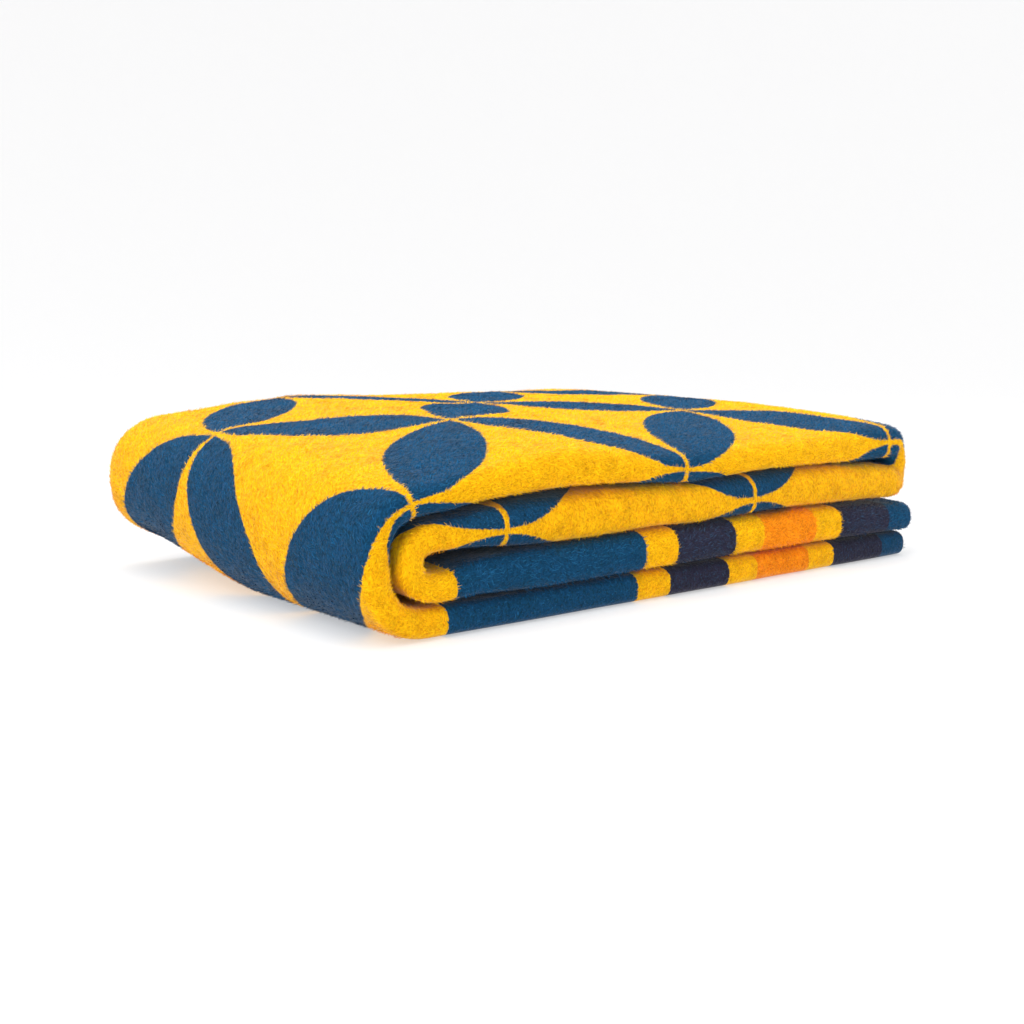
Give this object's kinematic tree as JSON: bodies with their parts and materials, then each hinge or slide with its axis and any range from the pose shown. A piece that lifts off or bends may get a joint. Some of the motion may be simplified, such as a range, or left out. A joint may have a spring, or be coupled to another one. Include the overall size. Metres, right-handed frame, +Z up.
{
  "type": "folded wool blanket",
  "caption": "Brushed double-woven wool throw, folded in a flat rectangular stack with a round outer wrap, in a two-colour counterchange pattern with end bars.",
  "frame": {"origin": "middle of the stack's underside, on the surface that it lies on", "axes": "+Z up, X along the stack with the round wrap at -X and the cloth's two ends at +X, -Y towards the folded front edges"},
  "size_m": [0.513, 0.356, 0.1222],
  "materials": {
    "wool": "brushed wool with a short dense nap, matt, in teal blue and golden yellow with charcoal and orange bars"
  },
  "bodies": {
    "root": {"folded_cloth": "wool"}
  },
  "joints": []
}
